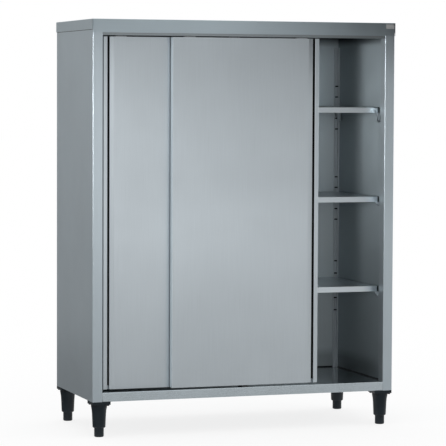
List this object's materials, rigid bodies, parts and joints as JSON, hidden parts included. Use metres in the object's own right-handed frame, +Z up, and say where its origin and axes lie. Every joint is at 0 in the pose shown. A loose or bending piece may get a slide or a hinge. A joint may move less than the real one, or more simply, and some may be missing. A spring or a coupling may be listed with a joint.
{
  "type": "cupboard",
  "caption": "Tall stainless steel storage cupboard with sliding doors, a folded lid, adjustable shelves and levelling feet.",
  "frame": {"origin": "on the floor under the middle of the cupboard", "axes": "+Z up, front faces -Y, +X to the right seen from the front"},
  "size_m": [1.4, 0.6, 1.8],
  "materials": {
    "carcass_steel": "vertical brushed grain, satin",
    "door_steel": "vertical brushed grain, satin",
    "inner_steel": "brushed, satin",
    "shelf_steel": "brushed lengthwise, satin",
    "rack_steel": "pressed, satin",
    "folded_steel": "mill finish",
    "fastener_steel": "plain stainless",
    "leg_plastic": "moulded, fine grain",
    "foot_plastic": "moulded, fine grain",
    "guide_nylon": "moulded nylon",
    "roller_nylon": "turned nylon",
    "buffer_rubber": "matte"
  },
  "bodies": {
    "carcass": {"top_panel": "carcass_steel", "top_stiffener": "folded_steel", "left_side_panel": "carcass_steel", "right_side_panel": "carcass_steel", "left_side_lining": "inner_steel", "right_side_lining": "inner_steel", "back_panel": "inner_steel", "bottom_deck": "inner_steel", "deck_stiffener": "folded_steel", "foot_plates": "folded_steel", "leg_screws": "fastener_steel", "door_rail": "folded_steel", "rail_bearer": "folded_steel", "rail_buffers": "buffer_rubber", "floor_guide": "guide_nylon", "guide_screws": "fastener_steel", "front_left_leg": "leg_plastic", "front_right_leg": "leg_plastic", "rear_left_leg": "leg_plastic", "rear_right_leg": "leg_plastic", "front_left_upright": "rack_steel", "front_right_upright": "rack_steel", "rear_left_upright": "rack_steel", "rear_right_upright": "rack_steel", "lower_shelf_brackets": "rack_steel", "middle_shelf_brackets": "rack_steel", "upper_shelf_brackets": "rack_steel"},
    "left_door": {"left_door_outer_skin": "door_steel", "left_door_inner_skin": "door_steel", "left_door_top_channel": "folded_steel", "left_door_bottom_channel": "folded_steel", "left_door_hangers": "folded_steel", "left_door_hanger_bolts": "fastener_steel"},
    "left_door_closing_roller": {"left_door_closing_rollers": "roller_nylon", "left_door_closing_axle": "fastener_steel"},
    "left_door_meeting_roller": {"left_door_meeting_rollers": "roller_nylon", "left_door_meeting_axle": "fastener_steel"},
    "right_door": {"right_door_outer_skin": "door_steel", "right_door_inner_skin": "door_steel", "right_door_top_channel": "folded_steel", "right_door_bottom_channel": "folded_steel", "right_door_hangers": "folded_steel", "right_door_hanger_bolts": "fastener_steel"},
    "right_door_closing_roller": {"right_door_closing_rollers": "roller_nylon", "right_door_closing_axle": "fastener_steel"},
    "right_door_meeting_roller": {"right_door_meeting_rollers": "roller_nylon", "right_door_meeting_axle": "fastener_steel"},
    "lower_shelf": {"lower_shelf": "shelf_steel", "lower_shelf_stiffener": "folded_steel"},
    "middle_shelf": {"middle_shelf": "shelf_steel", "middle_shelf_stiffener": "folded_steel"},
    "upper_shelf": {"upper_shelf": "shelf_steel", "upper_shelf_stiffener": "folded_steel"},
    "front_left_foot": {"front_left_levelling_foot": "foot_plastic"},
    "front_right_foot": {"front_right_levelling_foot": "foot_plastic"},
    "rear_left_foot": {"rear_left_levelling_foot": "foot_plastic"},
    "rear_right_foot": {"rear_right_levelling_foot": "foot_plastic"}
  },
  "joints": [
    {"name": "left_door_slide", "type": "slide", "parent": "carcass", "child": "left_door", "axis": [1, 0, 0], "range_m": [-0.013, 0.61]},
    {"name": "left_door_closing_roller_turn", "type": "hinge", "parent": "left_door", "child": "left_door_closing_roller", "pos_m": [-0.558, -0.238, 1.7452], "axis": [0, 1, 0], "range_deg": [-64, 2914]},
    {"name": "left_door_meeting_roller_turn", "type": "hinge", "parent": "left_door", "child": "left_door_meeting_roller", "pos_m": [-0.039, -0.238, 1.7452], "axis": [0, 1, 0], "range_deg": [-64, 2914]},
    {"name": "right_door_slide", "type": "slide", "parent": "carcass", "child": "right_door", "axis": [1, 0, 0], "range_m": [-0.3135, 0.3095]},
    {"name": "right_door_closing_roller_turn", "type": "hinge", "parent": "right_door", "child": "right_door_closing_roller", "pos_m": [0.2615, -0.274, 1.7452], "axis": [0, 1, 0], "range_deg": [-1498, 1479]},
    {"name": "right_door_meeting_roller_turn", "type": "hinge", "parent": "right_door", "child": "right_door_meeting_roller", "pos_m": [-0.2575, -0.274, 1.7452], "axis": [0, 1, 0], "range_deg": [-1498, 1479]},
    {"name": "lower_shelf_lift", "type": "slide", "parent": "carcass", "child": "lower_shelf", "axis": [0, 0, 1], "range_m": [0, 0.05]},
    {"name": "middle_shelf_lift", "type": "slide", "parent": "carcass", "child": "middle_shelf", "axis": [0, 0, 1], "range_m": [0, 0.05]},
    {"name": "upper_shelf_lift", "type": "slide", "parent": "carcass", "child": "upper_shelf", "axis": [0, 0, 1], "range_m": [0, 0.05]},
    {"name": "front_left_foot_adjust", "type": "slide", "parent": "carcass", "child": "front_left_foot", "axis": [0, 0, -1], "range_m": [-0.02, 0.03]},
    {"name": "front_right_foot_adjust", "type": "slide", "parent": "carcass", "child": "front_right_foot", "axis": [0, 0, -1], "range_m": [-0.02, 0.03]},
    {"name": "rear_left_foot_adjust", "type": "slide", "parent": "carcass", "child": "rear_left_foot", "axis": [0, 0, -1], "range_m": [-0.02, 0.03]},
    {"name": "rear_right_foot_adjust", "type": "slide", "parent": "carcass", "child": "rear_right_foot", "axis": [0, 0, -1], "range_m": [-0.02, 0.03]}
  ],
  "couplings": [
    {"joint": "left_door_closing_roller_turn", "follows": "left_door_slide", "rad_per_m": 83.333},
    {"joint": "left_door_meeting_roller_turn", "follows": "left_door_slide", "rad_per_m": 83.333},
    {"joint": "right_door_closing_roller_turn", "follows": "right_door_slide", "rad_per_m": 83.333},
    {"joint": "right_door_meeting_roller_turn", "follows": "right_door_slide", "rad_per_m": 83.333}
  ]
}
